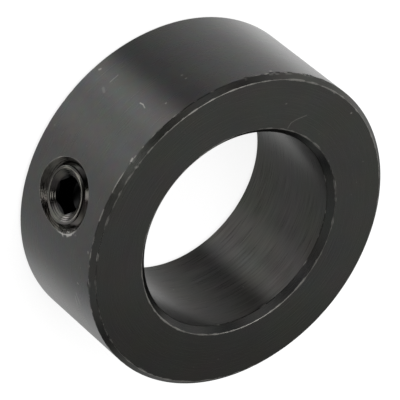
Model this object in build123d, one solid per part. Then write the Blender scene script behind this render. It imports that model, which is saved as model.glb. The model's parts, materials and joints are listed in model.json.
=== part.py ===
from build123d import *
import os
from math import radians, tan

# A shaft collar: a turned steel ring that one hexagon socket set screw clamps to a shaft.
# Lengths are in millimetres and angles in degrees. The ring lies on its back end face, with +Z along the
# bore and the origin at the centre of that face. The set screw points along +X from the middle of the width.

# Collar ring
bore_diameter = 25.0
wall_thickness = 7.5
collar_width = 16.0
barrel_chamfer = 0.6
bore_chamfer = 0.75

# Set screw: its diameter over the thread, and how far its two ends stand inside the wall
screw_diameter = 8.0
screw_recess = 0.25
point_clearance = 1.25

# Outer end of the screw: the thread starts with a chamfer below a plain rim round the dish
thread_start_chamfer = 0.6
rim_width = 0.35
rim_height = 0.28

# Hexagon socket in the screw's outer end
socket_across_flats = 4.0
socket_turn = 11.5
socket_web = 0.8
drill_angle = 120.0

# Cup point at the screw's inner end
cup_diameter = 5.0
cup_angle = 120.0

# Tapped hole for the screw
running_clearance = 0.05
mouth_chamfer = 0.65

# Overlap that lets a cutter run past the surface it leaves
cutter_overrun = 2.0

# Sizes that follow from those above
bore_radius = bore_diameter / 2
outer_radius = bore_radius + wall_thickness
screw_length = wall_thickness - screw_recess - point_clearance
screw_radius = screw_diameter / 2
hole_radius = screw_radius + running_clearance
rim_radius = screw_radius - thread_start_chamfer
dish_radius = rim_radius - rim_width
cup_radius = cup_diameter / 2
flat_radius = socket_across_flats / 2


def cone_depth(radius, included_angle):
    """Depth of a cone of this mouth radius and included angle."""
    return radius / tan(radians(included_angle / 2))


def ring_section():
    """Half section of the ring, with a chamfer at each of its four corners."""
    with BuildSketch(Plane.XZ) as section:
        with BuildLine():
            Polyline(
                (bore_radius + bore_chamfer, 0),
                (outer_radius - barrel_chamfer, 0),
                (outer_radius, barrel_chamfer),
                (outer_radius, collar_width - barrel_chamfer),
                (outer_radius - barrel_chamfer, collar_width),
                (bore_radius + bore_chamfer, collar_width),
                (bore_radius, collar_width - bore_chamfer),
                (bore_radius, bore_chamfer),
                close=True,
            )
        make_face()
    return section.sketch


def screw_plane(distance):
    """Plane across the screw's axis, facing outwards, at this distance from the bore's axis."""
    return Plane(origin=(distance, 0, collar_width / 2), x_dir=(0, 1, 0), z_dir=(1, 0, 0))


def tapped_hole():
    """Cutter for the screw's hole, from the bore's axis to past the crown, with its countersunk mouth."""
    with BuildPart() as cutter:
        with BuildSketch(screw_plane(0)):
            Circle(hole_radius)
        extrude(amount=outer_radius + cutter_overrun)
        with BuildSketch(screw_plane(outer_radius - mouth_chamfer)):
            Circle(hole_radius)
        extrude(amount=mouth_chamfer + cutter_overrun, taper=-45)
    return cutter.part


def make_collar_ring():
    """The turned ring with its tapped hole."""
    with BuildPart() as ring:
        add(ring_section())
        revolve(axis=Axis.Z)
        add(tapped_hole(), mode=Mode.SUBTRACT)
    return ring.part


def screw_section():
    """Half section of the screw, its outer end at zero and its axis upright: dish, rim, thread and cup."""
    with BuildSketch(Plane.XZ) as section:
        with BuildLine():
            Polyline(
                (0, -cone_depth(dish_radius, drill_angle)),
                (dish_radius, 0),
                (rim_radius, 0),
                (rim_radius, -rim_height),
                (screw_radius, -rim_height - thread_start_chamfer),
                (screw_radius, -screw_length + screw_radius - cup_radius),
                (cup_radius, -screw_length),
                (0, -screw_length + cone_depth(cup_radius, cup_angle)),
                close=True,
            )
        make_face()
    return section.sketch


def hexagon_socket():
    """Cutter for the socket: a hexagon with a drilled cone at its floor, clear of the cup by the web."""
    floor_cone = cone_depth(flat_radius, drill_angle)
    cup_depth = cone_depth(cup_radius, cup_angle)
    socket_depth = screw_length - cup_depth - socket_web - floor_cone
    with BuildPart() as cutter:
        with BuildSketch(Plane.XY.offset(-socket_depth)):
            RegularPolygon(radius=flat_radius, side_count=6, major_radius=False, rotation=socket_turn)
        extrude(amount=socket_depth + cutter_overrun)
        with BuildSketch(Plane.XZ):
            with BuildLine():
                Polyline(
                    (0, -socket_depth - floor_cone),
                    (flat_radius, -socket_depth),
                    (0, -socket_depth),
                    close=True,
                )
            make_face()
        revolve(axis=Axis.Z)
    return cutter.part


def make_set_screw():
    """The set screw, seated in its hole just below the crown of the barrel."""
    with BuildPart() as screw:
        add(screw_section())
        revolve(axis=Axis.Z)
        add(hexagon_socket(), mode=Mode.SUBTRACT)
    return screw_plane(outer_radius - screw_recess) * screw.part


os.makedirs("parts", exist_ok=True)
export_step(make_collar_ring(), "parts/collar_ring.step")
export_step(make_set_screw(), "parts/set_screw.step")
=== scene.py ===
# %% [markdown]
# A shaft collar
#
# A shaft collar is a plain steel ring that slides along a shaft and is held there by one screw. It keeps
# a bearing or a wheel from wandering. This one is turned from bar, blackened in a hot salt bath, and
# fitted with a set screw that has no head, so nothing stands out of the ring.
#
# The solids were made in CAD. This lesson dresses them in Blender: it gives the ring its broken edges and
# its tapped hole, cuts a real thread and a hexagon socket on the screw, and then makes the black finish,
# the light and the camera.

import json
import math
import random

import bmesh
import bpy
from mathutils import Matrix, Vector


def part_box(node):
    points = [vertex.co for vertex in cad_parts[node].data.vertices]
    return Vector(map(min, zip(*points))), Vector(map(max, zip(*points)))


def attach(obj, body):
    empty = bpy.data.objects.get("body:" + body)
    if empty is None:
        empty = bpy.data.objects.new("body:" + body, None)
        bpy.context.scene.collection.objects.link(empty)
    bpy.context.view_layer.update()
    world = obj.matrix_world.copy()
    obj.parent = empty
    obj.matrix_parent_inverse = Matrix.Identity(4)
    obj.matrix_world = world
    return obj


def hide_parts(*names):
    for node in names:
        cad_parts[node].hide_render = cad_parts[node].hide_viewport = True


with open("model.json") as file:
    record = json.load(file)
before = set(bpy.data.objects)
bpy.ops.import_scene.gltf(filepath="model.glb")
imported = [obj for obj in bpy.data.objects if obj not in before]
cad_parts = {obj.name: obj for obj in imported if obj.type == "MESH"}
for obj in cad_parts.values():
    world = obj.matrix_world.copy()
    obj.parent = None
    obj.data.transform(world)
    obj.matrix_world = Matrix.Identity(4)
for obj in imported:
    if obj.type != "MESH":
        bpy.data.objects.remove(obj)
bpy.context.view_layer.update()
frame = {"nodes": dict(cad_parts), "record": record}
print("CAD nodes:", sorted(frame["nodes"]))

# %% [markdown]
# Sizes
#
# Blender works in metres here, in the same axes as the CAD: the bore runs along Z, the set screw points
# along +X, and the ring rests on z = 0. The main sizes are read from the CAD solids and from the record
# that came with them, so the dressed parts can't drift away from the real ones. What is left to name is
# small: chamfers, the thread and the socket. Those are written in millimetres.

# %% Sizes from the frame
MM = 0.001

ring_low, ring_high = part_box("collar_ring")
screw_low, screw_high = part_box("set_screw")
mounts = {mount["name"]: mount for mount in frame["record"]["mounts"]}

outer_radius = ring_high.x
ring_width = ring_high.z - ring_low.z
middle = (ring_low.z + ring_high.z) / 2
bore_radius = mounts["bore"]["dims"]["r_mm"] * MM
bore_chamfer = (ring_width - mounts["bore"]["dims"]["length_mm"] * MM) / 2
barrel_chamfer = 0.6 * MM
screw_face = screw_high.x
screw_length = screw_high.x - screw_low.x
screw_radius = (screw_high.y - screw_low.y) / 2

# %% [markdown]
# Small helpers
#
# Every piece below is made the way it would be made by hand: add a primitive, open it for editing, select
# something, and run an operator on it. An operator works on whatever is selected, so each step starts by
# selecting nothing. The helpers here only save typing.

# %% Helpers for editing
def deselect_all():
    """Leave edit mode and select nothing, so that the next operator finds a clean table."""
    if bpy.context.mode != "OBJECT":
        bpy.ops.object.mode_set(mode="OBJECT")
    bpy.ops.object.select_all(action="DESELECT")


def choose(piece):
    """Select one object alone and make it the active one."""
    deselect_all()
    piece.select_set(True)
    bpy.context.view_layer.objects.active = piece


def open_for_editing(piece):
    """Choose one object and open its mesh."""
    choose(piece)
    bpy.ops.object.mode_set(mode="EDIT")


def pick(piece, kind, wanted):
    """In edit mode, select the vertices, edges or faces whose middle passes a test."""
    bpy.ops.mesh.select_mode(type=kind)
    bpy.ops.mesh.select_all(action="DESELECT")
    mesh = bmesh.from_edit_mesh(piece.data)
    for part in {"VERT": mesh.verts, "EDGE": mesh.edges, "FACE": mesh.faces}[kind]:
        corners = [part] if kind == "VERT" else part.verts
        centre = sum((corner.co for corner in corners), Vector()) / len(corners)
        if wanted(centre):
            part.select_set(True)
    mesh.select_flush_mode()
    bmesh.update_edit_mesh(piece.data)


def close_and_tidy(piece):
    """Merge doubled vertices, turn every face outwards and leave edit mode."""
    bpy.ops.mesh.select_mode(type="VERT")
    bpy.ops.mesh.select_all(action="SELECT")
    bpy.ops.mesh.remove_doubles(threshold=0.0005 * MM)
    bpy.ops.mesh.normals_make_consistent(inside=False)
    bpy.ops.object.mode_set(mode="OBJECT")
    print(piece.name, "has", len(piece.data.polygons), "faces")


# %% [markdown]
# The ring as it leaves the lathe
#
# A collar is turned: a tool works along a spinning bar, so every section through its axis is the same.
# The quickest way to model such a form is the lathe's own way. We draw the half section once, a rectangle
# between the bore and the barrel, and spin it round the Z axis.
#
# The corners of a turned part are never sharp. The barrel has a 0.6 mm chamfer and the bore a slightly
# larger one, which helps the shaft in. A vertex bevel on the section makes each of them. A second, much
# smaller bevel breaks the edges that the chamfers leave, because a real edge is always a little round and
# that thin round is what catches the light.

# %% The half section
deselect_all()
wall = outer_radius - bore_radius
bpy.ops.mesh.primitive_plane_add(size=1, rotation=(math.pi / 2, 0, 0))
ring = bpy.context.object
ring.name = "collar_body"
bpy.ops.object.transform_apply(location=True, rotation=True, scale=True)
open_for_editing(ring)
bpy.ops.mesh.select_all(action="SELECT")
bpy.ops.transform.resize(value=(wall, 1, ring_width))
bpy.ops.transform.translate(value=(bore_radius + wall / 2, 0, middle))

pick(ring, "VERT", lambda co: co.x > outer_radius - MM)
bpy.ops.mesh.bevel(offset=barrel_chamfer, segments=1, affect="VERTICES")
pick(ring, "VERT", lambda co: co.x < bore_radius + MM)
bpy.ops.mesh.bevel(offset=bore_chamfer, segments=1, affect="VERTICES")

edge_break = 0.05 * MM
bpy.ops.mesh.select_all(action="SELECT")
bpy.ops.mesh.bevel(offset=edge_break, segments=3, affect="VERTICES")

# %% Spin the section
ring_steps = 720
bpy.ops.mesh.select_all(action="SELECT")
bpy.ops.mesh.delete(type="ONLY_FACE")
bpy.ops.mesh.select_all(action="SELECT")
bpy.ops.mesh.spin(steps=ring_steps, angle=2 * math.pi, center=(0, 0, 0), axis=(0, 0, 1))
close_and_tidy(ring)

# %% [markdown]
# Nicks
#
# Collars lie loose in a bin and knock each other, and the blow always lands on the corner between the
# barrel and its chamfer. Each nick is a small dent: a few vertices of that corner are pushed in, towards
# the bore and towards the middle. The steps of the spin are a sixth of a millimetre wide there, which is
# just fine enough for a dent of a few tenths. Rows of edges are added first, a little below and above the
# corner, so that a dent ends there and doesn't pull the whole barrel in. The second row below the corner
# keeps the shading clean: without it, the tilt of the dent would smear along the barrel as a dark line.
# Bisect skips a cut that runs nearer to a vertex than its threshold, so that is set far smaller here than
# the tenth of a millimetre it starts with.

# %% Dent the corner of the barrel
# Each nick: its place and its reach along the corner, in degrees, and its depth in millimetres.
nicks = [
    (-81.6, 0.9, 0.028),
    (-84.0, 0.7, 0.04),
    (-88.6, 1.2, 0.024),
    (-95.2, 0.5, 0.048),
    (-96.6, 0.5, 0.04),
    (-98.2, 0.5, 0.048),
    (-104.0, 0.6, 0.032),
    (-109.5, 0.7, 0.04),
    (-71.9, 0.5, 0.024),
    (-36.2, 0.6, 0.02),
    (-24.0, 0.9, 0.036),
    (-12.5, 0.6, 0.02),
    (22.0, 0.8, 0.024),
    (61.0, 0.7, 0.028),
    (118.0, 0.9, 0.032),
    (171.0, 0.7, 0.024),
]
corner_height = ring_width - barrel_chamfer
corner_zone = 0.1 * MM
share_to_middle = 0.6


def dent_corner(angle, reach, depth):
    """Push in the front corner of the barrel over a few steps of the spin."""
    turned = math.radians(angle)
    outwards = Vector((math.cos(turned), math.sin(turned), 0))
    reach_length = outer_radius * math.radians(reach)

    def near(co):
        level = Vector((co.x, co.y, 0))
        at_corner = abs(co.z - corner_height) < corner_zone and level.length > outer_radius - corner_zone
        return at_corner and (level - outwards * outer_radius).length < reach_length

    pick(ring, "VERT", near)
    inwards = (-outwards + Vector((0, 0, -share_to_middle))) * depth * MM
    bpy.ops.transform.translate(value=inwards)


open_for_editing(ring)
for off_corner in (-0.3 * MM, -0.22 * MM, 0.17 * MM):
    row = (0, 0, corner_height + off_corner)
    bpy.ops.mesh.select_all(action="SELECT")
    bpy.ops.mesh.bisect(plane_co=row, plane_no=(0, 0, 1), threshold=0.001 * MM)
for nick in nicks:
    dent_corner(*nick)
bpy.ops.object.mode_set(mode="OBJECT")

# %% [markdown]
# One thread, used twice
#
# The screw is an M8 with the usual 1.25 mm pitch, and the hole has the matching thread. A thread is a
# helix, so Blender's Screw modifier is the right tool: it carries a short outline round an axis and lets
# it climb as it goes. The outline here is one pitch of the thread, five straight lines drawn by extruding
# a single vertex. The modifier joins pitch after pitch into one long thread.
#
# A Boolean needs a closed solid. Each end of the thread is one closed loop of edges, so each is extruded
# and merged to a point near the axis. Those ends are cut off later and never seen.

# %% Draw an outline by extruding a vertex
def outline(name, points):
    """An object whose mesh is one line through these points, drawn vertex by vertex."""
    deselect_all()
    bpy.ops.mesh.primitive_plane_add(size=MM, location=(0, 0, 0))
    piece = bpy.context.object
    piece.name = name
    open_for_editing(piece)
    bpy.ops.mesh.select_all(action="SELECT")
    bpy.ops.mesh.merge(type="CENTER")
    bpy.ops.transform.translate(value=points[0])
    for start, end in zip(points, points[1:]):
        step = Vector(end) - Vector(start)
        bpy.ops.mesh.extrude_vertices_move(TRANSFORM_OT_translate={"value": step})
    return piece


# %% Cut a thread
pitch = 1.25 * MM
flank_slope = 1 / math.tan(math.radians(30))
steps_per_turn = 96


def thread(name, crest_radius, crest_width, root_radius, start, turns):
    """A solid threaded rod along +X at the screw's height, with a crest's middle at start."""
    half_crest = crest_width / 2
    half_root = pitch / 2 - half_crest - (crest_radius - root_radius) / flank_slope
    line = [
        (start - pitch / 2, 0, root_radius),
        (start - pitch / 2 + half_root, 0, root_radius),
        (start - half_crest, 0, crest_radius),
        (start + half_crest, 0, crest_radius),
        (start + pitch / 2 - half_root, 0, root_radius),
        (start + pitch / 2, 0, root_radius),
    ]
    piece = outline(name, line)
    choose(piece)
    bpy.ops.object.modifier_add(type="SCREW")
    screw = piece.modifiers[-1]
    screw.axis = "X"
    screw.angle = 2 * math.pi
    screw.screw_offset = pitch
    screw.iterations = turns
    screw.steps = steps_per_turn
    screw.render_steps = steps_per_turn
    bpy.ops.object.modifier_apply(modifier=screw.name)
    open_for_editing(piece)
    bpy.ops.mesh.select_all(action="SELECT")
    bpy.ops.mesh.remove_doubles(threshold=0.0005 * MM)
    for end in (start - pitch, start + turns * pitch):
        bpy.ops.mesh.select_mode(type="EDGE")
        bpy.ops.mesh.select_all(action="DESELECT")
        bpy.ops.mesh.select_non_manifold()
        mesh = bmesh.from_edit_mesh(piece.data)
        for edge in mesh.edges:
            if abs((edge.verts[0].co.x + edge.verts[1].co.x) / 2 - end) > 2 * pitch:
                edge.select_set(False)
        bmesh.update_edit_mesh(piece.data)
        bpy.ops.mesh.extrude_edges_move()
        bpy.ops.mesh.merge(type="CENTER")
    bpy.ops.mesh.select_all(action="SELECT")
    bpy.ops.transform.translate(value=(0, 0, middle))
    close_and_tidy(piece)
    return piece


# %% [markdown]
# The tapped hole
#
# The hole is drilled from the barrel into the bore, tapped, and then countersunk so that the screw starts
# easily. The three cuts are made with two cutters. The tap is the thread above, a little larger than the
# screw. The countersink is a 90 degree cone. A hand countersink chatters in steel and leaves fine rings
# on the cone, so its outline gets small steps, and spinning it turns them into rings. A spun form is then
# turned by part of a step: a Boolean fails where its edges fall exactly on those of the other solid.

# %% The tap
screw_crest = screw_radius - 0.04 * MM
thread_phase = screw_face - 0.72 * MM
tap = thread(
    "tap",
    crest_radius=screw_radius + 0.05 * MM,
    crest_width=0.0985 * MM,
    root_radius=screw_radius - 0.6765 * MM,
    start=thread_phase - 9 * pitch,
    turns=13,
)

# %% The countersink
mouth_radius = 4.7 * MM
chatter_rings = 10
chatter_depth = 0.006 * MM
cone_end = 3.1 * MM
part_of_step = 0.37


def spin_round_screw(piece, steps):
    """Spin an outline about the X axis, turn it by part of a step and lift it to the screw's height."""
    bpy.ops.mesh.select_all(action="SELECT")
    bpy.ops.mesh.spin(steps=steps, angle=2 * math.pi, center=(0, 0, 0), axis=(1, 0, 0))
    bpy.ops.mesh.select_all(action="SELECT")
    turn = part_of_step * 2 * math.pi / steps
    bpy.ops.transform.rotate(value=turn, orient_axis="X", center_override=(0, 0, 0))
    bpy.ops.transform.translate(value=(0, 0, middle))
    close_and_tidy(piece)


cone_line = [(outer_radius + 1.5 * MM, 0, 0), (outer_radius + 1.5 * MM, 0, mouth_radius + 1.5 * MM)]
for ring_number in range(chatter_rings + 1):
    share = ring_number / chatter_rings
    radius = mouth_radius + share * (cone_end - mouth_radius)
    depth = outer_radius - (mouth_radius - radius)
    cone_line.append((depth, 0, radius))
    if ring_number < chatter_rings:
        half = (mouth_radius - cone_end) / chatter_rings / 2
        cone_line.append((depth - half - chatter_depth, 0, radius - half + chatter_depth))
cone_line.append((outer_radius - mouth_radius + cone_end, 0, 0))
countersink = outline("countersink", cone_line)
spin_round_screw(countersink, 192)


# %% Cut the hole
def boolean(piece, cutter, operation):
    """Cut, join or overlap two solids, keep the result in the first one and remove the second."""
    choose(piece)
    bpy.ops.object.modifier_add(type="BOOLEAN")
    cut = piece.modifiers[-1]
    cut.operation = operation
    cut.solver = "EXACT"
    cut.object = cutter
    bpy.ops.object.modifier_apply(modifier=cut.name)
    bpy.data.objects.remove(cutter)


boolean(ring, tap, "DIFFERENCE")
boolean(ring, countersink, "DIFFERENCE")

# %% [markdown]
# The burr
#
# On one side of the mouth the countersink pushed up a burr, a torn little ridge along the edge that
# shines because its black has rubbed off. Here it is a bent wire of uneven thickness: a line drawn along
# the edge, turned into a curve with a round bevel, and then into a mesh that is joined to the ring.

# %% Lay a wire along the mouth's edge
burr_angles = (5, 57)
burr_points = 40
burr_inset = 0.2 * MM
burr_thickness = 0.17 * MM
draws = random.Random(4)


def mouth_edge(angle, beyond):
    """A point on the mouth's edge, by its angle from +Y towards +Z, moved outwards along the barrel."""
    reach = mouth_radius - 0.3 * MM
    # The edge is where the cone meets the round barrel. Each of these rounds comes nearer to it.
    for _ in range(6):
        crown = math.sqrt(outer_radius**2 - (reach * math.cos(angle)) ** 2)
        reach = mouth_radius - (outer_radius - crown) + beyond
    return Vector((crown, reach * math.cos(angle), middle + reach * math.sin(angle)))


burr_line = []
for number in range(burr_points + 1):
    share = number / burr_points
    angle = math.radians(burr_angles[0] + share * (burr_angles[1] - burr_angles[0]))
    wander = draws.uniform(-0.05, 0.07) * MM
    lift = draws.uniform(-0.03, 0.03) * MM
    burr_line.append(tuple(mouth_edge(angle, wander - burr_inset) + Vector((lift, 0, 0))))
burr = outline("burr", burr_line)
choose(burr)
bpy.ops.object.convert(target="CURVE")
burr.data.bevel_depth = burr_thickness
burr.data.bevel_resolution = 2
burr.data.use_fill_caps = True
for number, knot in enumerate(burr.data.splines[0].points):
    swell = math.sin(math.pi * (number + 0.5) / (burr_points + 1)) ** 0.6
    knot.radius = swell * draws.uniform(0.55, 1.15)
bpy.ops.object.convert(target="MESH")
open_for_editing(burr)
close_and_tidy(burr)
boolean(ring, burr, "UNION")

# %% [markdown]
# The set screw
#
# The screw starts as a threaded rod. All else that is round on it is turned or drilled. The outer end has
# a plain rim round a dish, and below the rim a 45 degree chamfer starts the thread. A drilled hole with a
# cone at its floor prepares the socket. The inner end narrows to a hollow cup whose sharp edge bites into
# the shaft. Keeping only what lies inside that turned form is a Boolean intersection, and where the
# chamfer crosses the thread it leaves the same crescent that a die leaves.

# %% The threaded rod
rod = thread(
    "set_screw_body",
    crest_radius=screw_crest,
    crest_width=0.156 * MM,
    root_radius=screw_radius - 0.77 * MM,
    start=thread_phase - 7 * pitch,
    turns=10,
)

# %% The turned form
thread_start = 0.6 * MM
neck_depth = 0.28 * MM
rim_radius = screw_radius - thread_start
dish_radius = rim_radius - 0.35 * MM
rim_break = 0.05 * MM
cone_slope = math.tan(math.radians(60))
point = screw_face - screw_length
cup_radius = 2.5 * MM
cup_depth = cup_radius / cone_slope

socket_flats = 4.0 * MM
socket_web = 0.8 * MM
drill_undersize = 0.03 * MM
drill_radius = socket_flats / 2 - drill_undersize
drill_floor = point + cup_depth + socket_web + socket_flats / 2 / cone_slope


def dish_point(radius, raised):
    """A point of the dish at this radius, raised a little off the plain cone."""
    return (screw_face - (dish_radius - radius) / cone_slope + raised, 0, radius)


# Three faint ridges, where the tool dwelt on its way into the dish
dish_rings = []
for ring_radius in (2.42 * MM, 2.68 * MM, 2.88 * MM):
    dish_rings += [dish_point(ring_radius - 0.06 * MM, 0), dish_point(ring_radius, 0.03 * MM)]
    dish_rings.append(dish_point(ring_radius + 0.03 * MM, -0.01 * MM))
form = outline(
    "turned_form",
    [
        (drill_floor - drill_radius / cone_slope, 0, 0),
        (drill_floor, 0, drill_radius),
        dish_point(drill_radius, 0),
        *dish_rings,
        (screw_face - rim_break * 0.6, 0, dish_radius - rim_break),
        (screw_face, 0, dish_radius + rim_break),
        (screw_face, 0, rim_radius - rim_break * 1.6),
        (screw_face - rim_break * 0.5, 0, rim_radius - rim_break * 0.5),
        (screw_face - neck_depth, 0, rim_radius + rim_break * 0.4),
        (screw_face - neck_depth - thread_start, 0, screw_radius),
        (point + screw_radius - cup_radius, 0, screw_radius),
        (point + rim_break, 0, cup_radius + rim_break),
        (point, 0, cup_radius),
        (point + cup_depth, 0, 0),
    ],
)
spin_round_screw(form, 192)
boolean(rod, form, "INTERSECT")
screw = rod

# %% [markdown]
# The hexagon socket
#
# The socket takes a 4 mm key. A six-sided punch shears the drilled hole into a hexagon, and stops a
# little above the drill's cone. A six-sided cylinder is that punch. Its corners are rounded a little,
# because a punch with razor corners would crack.

# %% Punch the hexagon
socket_turn = math.radians(11.5)
past = MM
above_drill_floor = 0.06 * MM
punch_corner = 0.12 * MM
punch_floor = drill_floor + above_drill_floor
punch_length = screw_face + past - punch_floor
deselect_all()
bpy.ops.mesh.primitive_cylinder_add(
    vertices=6,
    radius=socket_flats / 2 / math.cos(math.radians(30)),
    depth=punch_length,
    location=(punch_floor + punch_length / 2, 0, middle),
    rotation=(math.pi / 2, math.pi / 2 - socket_turn, math.pi / 2),
)
punch = bpy.context.object
punch.name = "punch"
bpy.ops.object.transform_apply(location=True, rotation=True, scale=True)
open_for_editing(punch)
half_way = punch_floor + punch_length / 2
pick(punch, "EDGE", lambda co: abs(co.x - half_way) < 0.01 * MM)
bpy.ops.mesh.bevel(offset=punch_corner, segments=2)
close_and_tidy(punch)
boolean(screw, punch, "DIFFERENCE")

# %% [markdown]
# Shading and the bodies they ride on
#
# Flat facets should read as the round surfaces they stand for, while true edges stay crisp. Shading
# smoothly only where neighbouring faces turn by less than 6 degrees does both. Each dressed piece then
# takes the place of its CAD solid, which is hidden, and rides on an empty named for its body.

# %% Finish the meshes and put them on their bodies
smooth_angle = math.radians(6)


def finish_piece(piece, body, node):
    """Smooth the round surfaces, stand the piece in for its CAD node and let it ride on its body."""
    open_for_editing(piece)
    bpy.ops.mesh.select_all(action="SELECT")
    bpy.ops.mesh.normals_make_consistent(inside=False)
    open_edges = sum(len(edge.link_faces) != 2 for edge in bmesh.from_edit_mesh(piece.data).edges)
    choose(piece)
    bpy.ops.object.shade_smooth_by_angle(angle=smooth_angle)
    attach(piece, body)
    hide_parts(node)
    triangles = sum(len(face.vertices) - 2 for face in piece.data.polygons)
    print(piece.name, "open edges", open_edges, "triangles", triangles)


finish_piece(ring, "collar", "collar_ring")
finish_piece(screw, "screw", "set_screw")

# %% [markdown]
# Helpers for shader nodes
#
# A material is a small graph of nodes. Wiring it by hand takes many lines, so a few helpers do the common
# jobs: a sum or product, the same for vectors, a smooth step between two numbers, and a new node group
# with named inputs and one output. A value passed to them may be a socket of another node or a plain
# number.

# %% Node helpers
def feed(tree, socket, value):
    """Link a socket to an input, or write a plain value on it."""
    if isinstance(value, bpy.types.NodeSocket):
        tree.links.new(value, socket)
    else:
        socket.default_value = value


def calc(tree, operation, *values):
    """A Math node on sockets or plain numbers."""
    node = tree.nodes.new("ShaderNodeMath")
    node.operation = operation
    for socket, value in zip(node.inputs, values):
        feed(tree, socket, value)
    return node.outputs[0]


def vector_calc(tree, operation, *values):
    """A Vector Math node. It gives a number for a length or a dot product, and a vector otherwise."""
    node = tree.nodes.new("ShaderNodeVectorMath")
    node.operation = operation
    for socket, value in zip(node.inputs, values):
        feed(tree, socket, value)
    return node.outputs["Value" if operation in ("LENGTH", "DOT_PRODUCT") else "Vector"]


def scaled(tree, vector, factor):
    """A vector made longer or shorter by a factor."""
    node = tree.nodes.new("ShaderNodeVectorMath")
    node.operation = "SCALE"
    feed(tree, node.inputs[0], vector)
    feed(tree, node.inputs["Scale"], factor)
    return node.outputs[0]


def coordinates(tree, vector):
    """The X, Y and Z of a vector, as the outputs of one node."""
    node = tree.nodes.new("ShaderNodeSeparateXYZ")
    tree.links.new(vector, node.inputs[0])
    return node.outputs


def remap(tree, value, low, high, to_low, to_high, kind="SMOOTHSTEP"):
    """A smooth step from one number to another as the value goes from low to high."""
    node = tree.nodes.new("ShaderNodeMapRange")
    node.interpolation_type = kind
    numbers = {"Value": value, "From Min": low, "From Max": high, "To Min": to_low, "To Max": to_high}
    for name, number in numbers.items():
        feed(tree, node.inputs[name], number)
    return node.outputs["Result"]


def start_group(name, inputs, output, output_kind="NodeSocketFloat"):
    """A new node group with named inputs and one output. Returns the group and both ends of it."""
    group = bpy.data.node_groups.new(name, "ShaderNodeTree")
    for label, kind in inputs.items():
        group.interface.new_socket(label, in_out="INPUT", socket_type=kind)
    group.interface.new_socket(output, in_out="OUTPUT", socket_type=output_kind)
    given = group.nodes.new("NodeGroupInput").outputs
    return group, given, group.nodes.new("NodeGroupOutput").inputs[output]


def use_group(tree, group, values):
    """Place a group in a material, with its own values, and return its output."""
    node = tree.nodes.new("ShaderNodeGroup")
    node.node_tree = group
    for label, value in values.items():
        feed(tree, node.inputs[label], value)
    return node.outputs[0]


# %% [markdown]
# Turning lines
#
# A lathe tool leaves a very fine groove that winds round the part, so a turned surface shows lines round
# its axis. On the barrel and in the bore the lines sit one beside the other along Z, and on the end faces
# along the radius. One number that grows along both, Z plus a share of the radius, covers every surface.
# Noise that is squeezed along that number and stretched round the part gives lines that are never quite
# even and that fade after a few millimetres, as real ones do.

# %% The turning lines
VECTOR, FLOAT, COLOUR = "NodeSocketVector", "NodeSocketFloat", "NodeSocketColor"

turning_lines, given, result = start_group("turning_lines", {"Place": VECTOR, "Spacing": FLOAT}, "Lines")
share_of_radius = 1.7
stretch = 250.0
apart = coordinates(turning_lines, given["Place"])
flat = vector_calc(turning_lines, "MULTIPLY", given["Place"], (1, 1, 0))
radius = vector_calc(turning_lines, "LENGTH", flat)
across = calc(turning_lines, "MULTIPLY_ADD", radius, share_of_radius, apart["Z"])
join = turning_lines.nodes.new("ShaderNodeCombineXYZ")
feed(turning_lines, join.inputs["X"], calc(turning_lines, "DIVIDE", across, given["Spacing"]))
feed(turning_lines, join.inputs["Y"], calc(turning_lines, "MULTIPLY", apart["X"], stretch))
feed(turning_lines, join.inputs["Z"], calc(turning_lines, "MULTIPLY", apart["Y"], stretch))
grooves = turning_lines.nodes.new("ShaderNodeTexNoise")
grooves.inputs["Scale"].default_value = 1.0
grooves.inputs["Detail"].default_value = 2.0
feed(turning_lines, grooves.inputs["Vector"], join.outputs[0])
feed(turning_lines, result, remap(turning_lines, grooves.outputs["Fac"], 0.3, 0.7, 0.0, 1.0, "LINEAR"))

# %% [markdown]
# Oxide bloom
#
# The oxide isn't one even black. Its thickness varies by a few hundredths of a micron as the part hangs
# in the bath, and the black leans to blue, green or brown from place to place. A very soft, large noise
# whose colour is kept close to white does this, and it multiplies the colour of the steel.

# %% The oxide bloom
bloom, given, result = start_group(
    "oxide_bloom", {"Place": VECTOR, "Size": FLOAT, "Amount": FLOAT}, "Tint", COLOUR
)
cloud = bloom.nodes.new("ShaderNodeTexNoise")
cloud.inputs["Scale"].default_value = 1.0
cloud.inputs["Detail"].default_value = 3.0
spread = calc(bloom, "DIVIDE", 1.0, given["Size"])
feed(bloom, cloud.inputs["Vector"], scaled(bloom, given["Place"], spread))
centred = vector_calc(bloom, "SUBTRACT", cloud.outputs["Color"], (0.5, 0.5, 0.5))
toned = scaled(bloom, centred, given["Amount"])
feed(bloom, result, vector_calc(bloom, "ADD", toned, (1.0, 1.0, 1.0)))

# %% [markdown]
# Worn edges
#
# Black oxide is thin, so it goes first where parts knock together in the box: along the edges. The group
# is given the distance from the nearest edge and how far the wear reaches. Noise makes that reach swell
# and vanish along the edge, which breaks the bright line into dashes and dots.

# %% The worn edge
worn_edge, given, result = start_group(
    "worn_edge", {"Place": VECTOR, "Distance": FLOAT, "Width": FLOAT}, "Mask"
)
chips = worn_edge.nodes.new("ShaderNodeTexNoise")
chips.inputs["Scale"].default_value = 900.0
chips.inputs["Detail"].default_value = 3.0
worn_edge.links.new(given["Place"], chips.inputs["Vector"])
swell = remap(worn_edge, chips.outputs["Fac"], 0.42, 0.68, 0.35, 1.6)
reach = calc(worn_edge, "MULTIPLY", swell, given["Width"])
share = calc(worn_edge, "DIVIDE", given["Distance"], reach)
feed(worn_edge, result, remap(worn_edge, share, 0.35, 1.0, 1.0, 0.0))

# %% [markdown]
# Scratches and specks
#
# A few marks can be told one by one on this collar: a curved scratch on the end face, a nick or two on
# the barrel, some hairlines. Each is a short straight stroke between two points, so a group that measures
# the distance from a line segment can draw them all. Specks are the dust and the pinholes in the oxide.
# They are spread by a Voronoi texture, of whose cells only a few are chosen.

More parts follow.
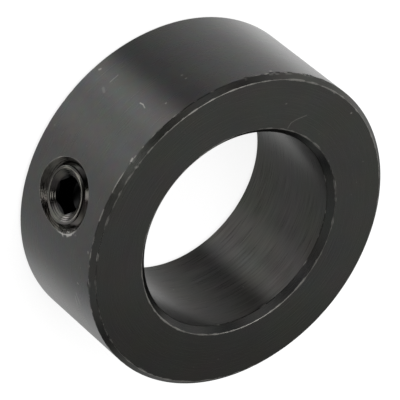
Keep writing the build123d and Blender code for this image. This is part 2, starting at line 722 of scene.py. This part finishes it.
# %% A scratch from one point to another
scratch, given, result = start_group(
    "scratch", {"Place": VECTOR, "Start": VECTOR, "End": VECTOR, "Width": FLOAT}, "Mask"
)
run = vector_calc(scratch, "SUBTRACT", given["End"], given["Start"])
from_start = vector_calc(scratch, "SUBTRACT", given["Place"], given["Start"])
along = calc(
    scratch,
    "DIVIDE",
    vector_calc(scratch, "DOT_PRODUCT", from_start, run),
    vector_calc(scratch, "DOT_PRODUCT", run, run),
)
along = calc(scratch, "MINIMUM", calc(scratch, "MAXIMUM", along, 0.0), 1.0)
nearest = scaled(scratch, run, along)
gap = vector_calc(scratch, "LENGTH", vector_calc(scratch, "SUBTRACT", from_start, nearest))
feed(scratch, result, remap(scratch, calc(scratch, "DIVIDE", gap, given["Width"]), 0.2, 0.6, 1.0, 0.0))

# %% Specks
specks, given, result = start_group("specks", {"Place": VECTOR, "Spacing": FLOAT, "Size": FLOAT}, "Mask")
cells = specks.nodes.new("ShaderNodeTexVoronoi")
cells.inputs["Scale"].default_value = 1.0
closer = scaled(specks, given["Place"], calc(specks, "DIVIDE", 1.0, given["Spacing"]))
feed(specks, cells.inputs["Vector"], closer)
chosen = specks.nodes.new("ShaderNodeSeparateColor")
specks.links.new(cells.outputs["Color"], chosen.inputs[0])
lucky = remap(specks, chosen.outputs["Red"], 0.7, 1.0, 0.0, 1.0)
apart_from_dot = calc(specks, "MULTIPLY", cells.outputs["Distance"], given["Spacing"])
dot = remap(specks, calc(specks, "DIVIDE", apart_from_dot, given["Size"]), 0.2, 0.6, 1.0, 0.0)
feed(specks, result, calc(specks, "MULTIPLY", dot, lucky))

# %% [markdown]
# Black oxide
#
# Hot black oxide turns the skin of the steel into magnetite. It is not paint: it has no thickness to
# speak of, it mirrors like a metal, but it gives back only about a tenth of the light that falls straight
# on it and nearly all of the light that grazes it. A metallic Principled BSDF with a base colour near 0.1
# does just that. The material reads Object coordinates. Every piece keeps its object at the origin, so
# these are the same millimetres that the CAD uses, and the marks can be given in them.

# %% Start a black oxide material
def blackened_steel(name):
    """A metallic material with nothing on it yet. Returns it, its tree, its shader and its places."""
    material = bpy.data.materials.new(name)
    material.use_nodes = True
    tree = material.node_tree
    shader = tree.nodes["Principled BSDF"]
    shader.inputs["Metallic"].default_value = 1.0
    places = tree.nodes.new("ShaderNodeTexCoord").outputs["Object"]
    return material, tree, shader, places


def mix_colour(tree, share, first, second):
    """A Mix node on two colours."""
    node = tree.nodes.new("ShaderNodeMix")
    node.data_type = "RGBA"
    feed(tree, node.inputs["Factor"], share)
    feed(tree, node.inputs["A"], first)
    feed(tree, node.inputs["B"], second)
    return node.outputs["Result"]


def from_screw_axis(tree, places):
    """Distance from the screw's axis."""
    off_axis = vector_calc(tree, "SUBTRACT", places, (0, 0, middle))
    return vector_calc(tree, "LENGTH", vector_calc(tree, "MULTIPLY", off_axis, (0, 1, 1)))


def wear(tree, places, distance, width):
    """The worn edge group, at this distance from an edge and with this reach."""
    return use_group(tree, worn_edge, {"Place": places, "Distance": distance, "Width": width})


def largest(tree, masks):
    """The strongest of several masks."""
    strongest = masks[0]
    for mask in masks[1:]:
        strongest = calc(tree, "MAXIMUM", strongest, mask)
    return strongest


# %% [markdown]
# The ring's finish
#
# The barrel, the end faces and the bore were cut with different tools, and the photograph shows it: the
# end faces lean to a warm green, the barrel is neutral and softly mottled, and the bore is darker and
# plainly grooved. One side of the end face is also painted darker, as painted shade. Masks tell them
# apart by the radius. The wear follows the four turned edges at each end and the mouth of the screw's
# hole, whose distances are worked out from the sizes at the top. Along the burr the skin is torn off in a
# wider and brighter band. The countersunk cone is glossier than the rest and rippled by the chatter of
# its tool.

# %% Where on the ring a point lies
collar_finish, tree, shader, places = blackened_steel("collar_black_oxide")
apart = coordinates(tree, places)
radius = vector_calc(tree, "LENGTH", vector_calc(tree, "MULTIPLY", places, (1, 1, 0)))
off_middle = calc(tree, "ABSOLUTE", calc(tree, "SUBTRACT", apart["Z"], middle))
in_bore = remap(tree, radius, bore_radius + 0.02 * MM, bore_radius + 0.1 * MM, 1.0, 0.0)
on_barrel = remap(tree, radius, outer_radius - 0.1 * MM, outer_radius - 0.02 * MM, 0.0, 1.0)


def edge_distance(edge_radius, edge_height, spared):
    """Distance from a turned edge at this radius and height off the middle, more where it is spared."""
    aside = calc(tree, "SUBTRACT", radius, edge_radius)
    beyond = calc(tree, "SUBTRACT", off_middle, edge_height)
    squares = calc(tree, "MULTIPLY_ADD", aside, aside, calc(tree, "MULTIPLY", beyond, beyond))
    return calc(tree, "ADD", calc(tree, "SQRT", squares), spared)


half_width = ring_width / 2
# Each turned edge: its radius, its height off the middle, and how far it is spared.
edge_places = [
    (outer_radius, half_width - barrel_chamfer, 0.045 * MM),
    (outer_radius - barrel_chamfer, half_width, -0.005 * MM),
    (bore_radius + bore_chamfer, half_width, -0.02 * MM),
    (bore_radius, half_width - bore_chamfer, 0.06 * MM),
]
from_edge = edge_distance(*edge_places[0])
for edge_place in edge_places[1:]:
    from_edge = calc(tree, "MINIMUM", from_edge, edge_distance(*edge_place))

# %% How far a point is from the mouth of the screw's hole
from_axis = from_screw_axis(tree, places)
under_crown = calc(tree, "SUBTRACT", outer_radius, apart["X"])
off_cone = calc(tree, "SUBTRACT", calc(tree, "ADD", from_axis, under_crown), mouth_radius)
off_cone = calc(tree, "MULTIPLY", off_cone, math.sqrt(0.5))
under_barrel = calc(tree, "SUBTRACT", outer_radius, radius)
under_squared = calc(tree, "MULTIPLY", under_barrel, under_barrel)
from_mouth = calc(tree, "SQRT", calc(tree, "MULTIPLY_ADD", off_cone, off_cone, under_squared))
in_hole = calc(
    tree,
    "MULTIPLY",
    remap(tree, off_cone, 0.0, 0.04 * MM, 1.0, 0.0),
    remap(tree, apart["X"], bore_radius + 0.4 * MM, bore_radius + 0.6 * MM, 0.0, 1.0),
)


# %% The marks that can be told one by one
def on_face(from_bore_axis, angle):
    """A point of the front face, in millimetres from the bore's axis and degrees from +X."""
    turned = math.radians(angle)
    return (from_bore_axis * MM * math.cos(turned), from_bore_axis * MM * math.sin(turned), ring_width)


def on_barrel_at(angle, height):
    """A point of the barrel, in degrees from +X and millimetres above the back face."""
    turned = math.radians(angle)
    return (outer_radius * math.cos(turned), outer_radius * math.sin(turned), height * MM)


curved_scratch = [(13.5, -96.8), (14.19, -97.3), (14.74, -99.4), (15.12, -101.4), (15.57, -103.6)]
# Each mark: its two ends, its width in millimetres, and how much of the steel it lays bare.
face_marks = [(start, end, 0.11, 0.5) for start, end in zip(curved_scratch, curved_scratch[1:])]
face_marks += [
    ((18.71, -122.6), (18.75, -122.8), 0.22, 0.9),
    ((16.38, -90.4), (16.45, -90.7), 0.18, 0.5),
    ((19.35, -109.5), (19.3, -109.9), 0.25, 0.8),
    ((19.45, -45.0), (19.45, -45.6), 0.2, 0.9),
    ((19.45, -37.5), (19.43, -38.6), 0.22, 0.9),
    ((19.42, -30.4), (19.42, -31.4), 0.2, 0.9),
    ((19.43, -40.8), (19.43, -41.8), 0.16, 0.6),
    ((19.43, -22.8), (19.35, -23.4), 0.3, 1.0),
]
barrel_marks = [
    ((-23.6, 15.3), (-24.4, 15.25), 0.3, 0.9),
    ((-12.0, 15.38), (-17.5, 15.38), 0.16, 0.8),
    ((-1.5, 15.38), (-5.5, 15.38), 0.18, 0.9),
    ((-45.0, 12.83), (-45.2, 12.83), 0.2, 0.7),
    ((-39.8, 1.43), (-40.2, 1.5), 0.3, 0.6),
    ((-56.2, 10.37), (-56.4, 10.37), 0.28, 0.4),
    ((-56.2, 11.21), (-56.4, 11.21), 0.25, 0.4),
    ((-97.5, 15.3), (-97.9, 15.5), 0.2, 0.9),
    ((-95.4, 15.3), (-95.8, 15.5), 0.2, 0.9),
    ((-39.8, 10.1), (-40.0, 10.6), 0.17, 0.8),
    ((-40.0, 10.6), (-39.5, 11.2), 0.15, 0.6),
    ((30.5, 12.27), (34.6, 12.65), 0.13, 0.6),
    ((32.6, 11.85), (36.6, 11.8), 0.13, 0.5),
    ((-82, 14.9), (-82.4, 14.9), 0.25, 0.8),
    ((-87.5, 15.3), (-87.9, 15.3), 0.25, 0.8),
    ((10.5, 14.85), (10.9, 14.9), 0.2, 0.7),
    ((25.2, 13.0), (25.4, 13.1), 0.22, 0.7),
    ((-35.9, 4.1), (-35.1, 4.7), 0.4, 0.14),
    ((-38.8, 4.2), (-42.3, 4.2), 0.14, 0.3),
]
strokes = [(on_face(*start), on_face(*end), *rest) for start, end, *rest in face_marks]
strokes += [(on_barrel_at(*start), on_barrel_at(*end), *rest) for start, end, *rest in barrel_marks]
stroke_masks = []
for start, end, stroke_width, strength in strokes:
    values = {"Place": places, "Start": start, "End": end, "Width": stroke_width * MM}
    stroke_masks.append(calc(tree, "MULTIPLY", use_group(tree, scratch, values), strength))

# %% Where the ring's oxide is worn off
wear_width = 0.1 * MM
torn_width = 0.36 * MM
wear_off_burr = 0.12
dust_strength = 0.25
edge_wear = wear(tree, places, from_edge, wear_width)
mouth_wear = wear(tree, places, from_mouth, wear_width)
dust = use_group(tree, specks, {"Place": places, "Spacing": 1.6 * MM, "Size": 0.2 * MM})
burr_turn = calc(tree, "ARCTAN2", calc(tree, "SUBTRACT", apart["Z"], middle), apart["Y"])
burr_middle = math.radians(sum(burr_angles) / 2)
off_burr = calc(tree, "ABSOLUTE", calc(tree, "SUBTRACT", burr_turn, burr_middle))
burr_side = remap(tree, off_burr, 0.25, 0.55, 1, 0)
torn = wear(tree, places, from_mouth, torn_width)
core = remap(tree, from_mouth, 0.08 * MM, 0.2 * MM, 1, 0)
torn = calc(tree, "MAXIMUM", torn, core)
mouth_wear = calc(tree, "MULTIPLY", mouth_wear, remap(tree, burr_side, 0, 1, wear_off_burr, 1))
torn = calc(tree, "MULTIPLY", torn, burr_side)
faint_dust = calc(tree, "MULTIPLY", dust, dust_strength)
bare = largest(tree, [edge_wear, mouth_wear, torn, faint_dust, *stroke_masks])

# %% The colours of the ring
lines = use_group(tree, turning_lines, {"Place": places, "Spacing": 0.16 * MM})
line_depth = remap(tree, in_bore, 0.0, 1.0, 0.02, 0.5, "LINEAR")
line_shade = calc(tree, "MULTIPLY_ADD", calc(tree, "SUBTRACT", lines, 0.5), line_depth, 1.0)
tint = use_group(tree, bloom, {"Place": places, "Size": 4 * MM, "Amount": 0.22})

face_black = (0.1, 0.101, 0.094, 1)
painted_shade_face_black = (0.078, 0.078, 0.071, 1)
barrel_black = (0.1, 0.1, 0.097, 1)
bore_black = (0.064, 0.0634, 0.0595, 1)
bore_chamfer_black = (0.086, 0.087, 0.083, 1)
hole_black = (0.085, 0.081, 0.073, 1)
bare_steel = (0.45, 0.44, 0.41, 1)
torn_steel = (0.6, 0.59, 0.56, 1)
# Painted shade: the end face is painted darker towards +Y, for the light that falls off across it.
painted_shade_share = remap(tree, apart["Y"], 4 * MM, 17 * MM, 0.0, 1.0)
black = mix_colour(tree, painted_shade_share, face_black, painted_shade_face_black)
black = mix_colour(tree, on_barrel, black, barrel_black)
bore_mouth = bore_radius + bore_chamfer
inside_face = remap(tree, radius, bore_mouth - 0.03 * MM, bore_mouth, 1.0, 0.0)
black = mix_colour(tree, inside_face, black, bore_chamfer_black)
black = mix_colour(tree, in_bore, black, bore_black)
black = mix_colour(tree, in_hole, black, hole_black)
black = vector_calc(tree, "MULTIPLY", black, tint)
mottle = use_group(tree, bloom, {"Place": places, "Size": 1.1 * MM, "Amount": 0.3})
black = vector_calc(tree, "MULTIPLY", black, mix_colour(tree, on_barrel, (1, 1, 1, 1), mottle))
black = scaled(tree, black, line_shade)
steel = mix_colour(tree, torn, bare_steel, torn_steel)
tree.links.new(mix_colour(tree, bare, black, steel), shader.inputs["Base Color"])

# %% The sheen and the grooves of the ring
face_sheen, bore_sheen = 0.28, 0.29
duller_where_bare = 0.08
glossier_in_hole = -0.08
sheen = remap(tree, in_bore, 0.0, 1.0, face_sheen, bore_sheen, "LINEAR")
line_sheen = remap(tree, on_barrel, 0.0, 1.0, 0.04, 0.02, "LINEAR")
sheen = calc(tree, "MULTIPLY_ADD", calc(tree, "SUBTRACT", lines, 0.5), line_sheen, sheen)
sheen = calc(tree, "MULTIPLY_ADD", bare, duller_where_bare, sheen)
sheen = calc(tree, "MULTIPLY_ADD", in_hole, glossier_in_hole, sheen)
tree.links.new(sheen, shader.inputs["Roughness"])

groove_height = calc(tree, "MULTIPLY", lines, remap(tree, in_bore, 0.0, 1.0, 0.04, 0.5, "LINEAR"))
# The chatter is the turning lines again, wound round the screw's axis. Its places are enlarged, which
# makes every line that much shorter.
chatter_spacing = 0.3 * MM
chatter_strength = 6.0
longer = 4
chatter_places = tree.nodes.new("ShaderNodeCombineXYZ")
feed(tree, chatter_places.inputs["X"], apart["Y"])
feed(tree, chatter_places.inputs["Y"], calc(tree, "SUBTRACT", apart["Z"], middle))
feed(tree, chatter_places.inputs["Z"], apart["X"])
enlarged = scaled(tree, chatter_places.outputs[0], longer)
chatter = use_group(tree, turning_lines, {"Place": enlarged, "Spacing": longer * chatter_spacing})
chatter_height = calc(tree, "MULTIPLY", calc(tree, "MULTIPLY", chatter, in_hole), chatter_strength)
groove_height = calc(tree, "ADD", groove_height, chatter_height)
grooved = tree.nodes.new("ShaderNodeBump")
grooved.inputs["Strength"].default_value = 1.0
grooved.inputs["Distance"].default_value = 0.004 * MM
tree.links.new(groove_height, grooved.inputs["Height"])
tree.links.new(grooved.outputs["Normal"], shader.inputs["Normal"])

# %% [markdown]
# The screw's finish
#
# The screw was blackened and oiled, so it is darker and glossier than the ring. The edge between its rim
# and its dish has been rubbed by other screws and by the key: a thin worn line runs all round. It is
# painted wider on one side and faint on the other, and that is painted highlight on top of the wear. The
# walls of the socket are painted darkest of all, as painted shade, and one side of the screw is painted
# lighter, as painted light.

# %% Wire the screw's finish
screw_finish, tree, shader, places = blackened_steel("screw_black_oxide")
apart = coordinates(tree, places)
from_axis = from_screw_axis(tree, places)
rim_middle = dish_radius + 0.03 * MM
aside = calc(tree, "SUBTRACT", from_axis, rim_middle)
behind = calc(tree, "SUBTRACT", screw_face, apart["X"])
rim_squares = calc(tree, "MULTIPLY_ADD", aside, aside, calc(tree, "MULTIPLY", behind, behind))
from_rim = calc(tree, "SQRT", rim_squares)
screw_black = (0.075, 0.072, 0.066, 1)
lit_black = (0.13, 0.125, 0.115, 1)
socket_painted_shade = (0.02, 0.02, 0.02, 1)
rim_steel_and_highlight = (0.3, 0.29, 0.25, 1)
# The worn line on the rim is real wear, painted wider and brighter on one side and fainter on the other
# as a painted highlight.
rubbed_and_highlit_side = remap(tree, apart["Y"], -1.5 * MM, -3.3 * MM, 0.0, 1.0)
highlight_and_wear_reach = calc(tree, "MULTIPLY_ADD", rubbed_and_highlit_side, 0.14 * MM, 0.07 * MM)
rim_wear_and_highlight = wear(tree, places, from_rim, highlight_and_wear_reach)
rim_wear_and_highlight = calc(tree, "MULTIPLY", rim_wear_and_highlight, remap(tree, apart["Y"], 1 * MM, 3 * MM, 1.0, 0.35))
tint = use_group(tree, bloom, {"Place": places, "Size": 2 * MM, "Amount": 0.3})
in_socket = remap(tree, from_axis, socket_flats * 0.6, socket_flats * 0.56, 0.0, 1.0)
# Painted light: one side of the screw is painted lighter, for the light that falls on it.
lit_side = remap(tree, apart["Y"], 0.5 * MM, 2 * MM, 0.0, 1.0)
black = mix_colour(tree, lit_side, screw_black, lit_black)
# Painted shade: the socket's walls are painted near black, for the shade inside the recess.
black = mix_colour(tree, in_socket, black, socket_painted_shade)
black = vector_calc(tree, "MULTIPLY", black, tint)
tree.links.new(mix_colour(tree, rim_wear_and_highlight, black, rim_steel_and_highlight), shader.inputs["Base Color"])
tree.links.new(calc(tree, "MULTIPLY_ADD", rim_wear_and_highlight, 0.12, 0.2), shader.inputs["Roughness"])

# %% Put the finishes on the pieces
finishes = [(ring, "collar_ring", collar_finish), (screw, "set_screw", screw_finish)]
for piece, node_name, material in finishes:
    for mesh in (piece.data, frame["nodes"][node_name].data):
        mesh.materials.clear()
        mesh.materials.append(material)

# %% [markdown]
# Floor, surroundings and lamps
#
# The photograph was taken on white. The floor here is a pale plane, and for the camera it is mostly a
# white glow, so that it stays white, with a small share that is really lit, so that it still carries the
# shadow.

# %% The floor
deselect_all()
bpy.ops.mesh.primitive_plane_add(size=6, location=(0, 0, -0.00002))
floor = bpy.context.object
floor.name = "floor"
floor.visible_glossy = False
floor_paint = bpy.data.materials.new("floor_white")
floor_paint.use_nodes = True
tree = floor_paint.node_tree
tree.nodes.clear()
lit_share = 0.14
path = tree.nodes.new("ShaderNodeLightPath")
plain = tree.nodes.new("ShaderNodeBsdfDiffuse")
plain.inputs["Color"].default_value = (0.8, 0.8, 0.8, 1)
lit = tree.nodes.new("ShaderNodeBsdfDiffuse")
lit.inputs["Color"].default_value = (lit_share, lit_share, lit_share, 1)
glow = tree.nodes.new("ShaderNodeEmission")
glow.inputs["Color"].default_value = (1, 1, 1, 1)
glow.inputs["Strength"].default_value = 1 - lit_share
shown = tree.nodes.new("ShaderNodeAddShader")
tree.links.new(lit.outputs[0], shown.inputs[0])
tree.links.new(glow.outputs[0], shown.inputs[1])
seen = calc(tree, "MAXIMUM", path.outputs["Is Camera Ray"], path.outputs["Is Transmission Ray"])
mix = tree.nodes.new("ShaderNodeMixShader")
tree.links.new(seen, mix.inputs[0])
tree.links.new(plain.outputs[0], mix.inputs[1])
tree.links.new(shown.outputs[0], mix.inputs[2])
out = tree.nodes.new("ShaderNodeOutputMaterial")
tree.links.new(mix.outputs[0], out.inputs["Surface"])
floor.data.materials.append(floor_paint)

# %% [markdown]
# What the metal mirrors
#
# A dark metal shows little of its own colour. Almost everything seen on it is a reflection, so the
# surroundings matter more than the lamps. The world is built like a product photographer's tent: a dark
# room with soft round cards, each one a direction, a size and a strength. The strengths of the wide cards
# were worked out from renders with one card lit at a time, as the mix that comes nearest the photograph.
# Three narrower cards add what wide ones can't: the streak along the barrel, the even light on the end
# face and the light in the screw's dish. For the camera the world is plain white, and for diffuse light
# it is an even pale sky.

# %% The surroundings
def direction(azimuth, elevation):
    """The unit vector at this azimuth from +X towards +Y and this elevation, in degrees."""
    a, e = math.radians(azimuth), math.radians(elevation)
    return Vector((math.cos(e) * math.cos(a), math.cos(e) * math.sin(a), math.sin(e)))


wide_card_edges = (4, 33)
wide_cards = [
    (-180, -60, 1.5),
    (-144, -60, 0.292),
    (-108, -60, 0.718),
    (36, -60, 0.855),
    (108, -60, 1.086),
    (-30, -30, 1.162),
    (0, -30, 0.442),
    (-180, 0, 0.732),
    (-150, 0, 0.492),
    (-120, 0, 1.105),
    (60, 0, 0.893),
    (120, 0, 0.607),
    (30, 30, 0.42),
    (-90, 60, 0.981),
]
cards = [
    (direction(azimuth, elevation), *wide_card_edges, strength)
    for azimuth, elevation, strength in wide_cards
]
cards += [
    (direction(-53, -45), 2, 13, 1.3),
    (direction(165, 48), 2, 20, 0.77),
    (direction(-26, -69), 3, 16, 3.0),
]
world = bpy.data.worlds.new("white_tent")
bpy.context.scene.world = world
world.use_nodes = True
tree = world.node_tree
tree.nodes.clear()
towards = tree.nodes.new("ShaderNodeTexCoord").outputs["Generated"]
level = 0.0
for axis, inner, outer, strength in cards:
    facing = vector_calc(tree, "DOT_PRODUCT", towards, axis)
    edge_low, edge_high = math.cos(math.radians(outer)), math.cos(math.radians(inner))
    card = remap(tree, facing, edge_low, edge_high, 0, strength)
    level = calc(tree, "ADD", level, card)
sky_level = 0.55
path = tree.nodes.new("ShaderNodeLightPath")
glossy = calc(tree, "MULTIPLY", path.outputs["Is Glossy Ray"], level)
even = calc(tree, "MULTIPLY", calc(tree, "SUBTRACT", 1.0, path.outputs["Is Glossy Ray"]), sky_level)
indirect = calc(tree, "ADD", glossy, even)
seen = calc(tree, "MAXIMUM", path.outputs["Is Camera Ray"], path.outputs["Is Transmission Ray"])
strength = calc(tree, "MAXIMUM", seen, indirect)
background = tree.nodes.new("ShaderNodeBackground")
tree.links.new(strength, background.inputs["Strength"])
out = tree.nodes.new("ShaderNodeOutputWorld")
tree.links.new(background.outputs[0], out.inputs["Surface"])

# %% The lamps
def softbox(name, place, size, watts):
    """A square area lamp that looks at the ring and lights without being mirrored."""
    deselect_all()
    bpy.ops.object.light_add(type="AREA", location=place)
    lamp = bpy.context.object
    lamp.name = name
    lamp.rotation_euler = (Vector((0, 0, middle)) - Vector(place)).to_track_quat("-Z", "Y").to_euler()
    lamp.data.shape = "SQUARE"
    lamp.data.size = size
    lamp.data.energy = watts
    lamp.visible_glossy = False
    return lamp


softbox("key_softbox", (0.15, -0.35, 0.55), 0.5, 6)
softbox("fill_softbox", (-0.45, 0.1, 0.4), 0.5, 3)


def small_lamp(name, azimuth, elevation, half_width, brightness):
    """A small lamp a metre off in this direction, mirrored in the metal at this brightness."""
    away = 1.0
    lamp = softbox(name, direction(azimuth, elevation) * away + Vector((0, 0, middle)), 1, 1)
    lamp.data.size = 2 * away * math.tan(math.radians(half_width))
    lamp.data.energy = brightness * math.pi * lamp.data.size**2
    lamp.visible_glossy = True


small_lamp("overhead_lamp", -140, 68, 7, 2.5)
small_lamp("camera_lamp", -19, 30, 10, 2.6)

# %% [markdown]
# The camera
#
# The camera stands where the photographer's did, found by fitting the ring's outlines to the picture. It
# looks down at 45 degrees from the side that shows the screw, through a long lens, and it is rolled so
# that the ring seems to stand on its barrel.

# %% The camera
roll = math.radians(129.82)
distance = 480.96 * MM
aim_right, aim_up = 0.222 * MM, -0.111 * MM
back = direction(-28.28, 44.85)
level_right = Vector((0, 0, 1)).cross(back).normalized()
level_up = back.cross(level_right)
right = level_right * math.cos(roll) + level_up * math.sin(roll)
up = back.cross(right)
place = Vector((0, 0, middle)) + back * distance - right * aim_right - up * aim_up
deselect_all()
bpy.ops.object.camera_add(location=place)
camera = bpy.context.object
camera.name = "photo_camera"
camera.rotation_euler = Matrix((right, up, back)).transposed().to_euler()
camera.data.sensor_width = 36
camera.data.lens = 374.6
camera.data.clip_end = 100
bpy.context.scene.camera = camera
bpy.context.scene.view_settings.view_transform = "Standard"
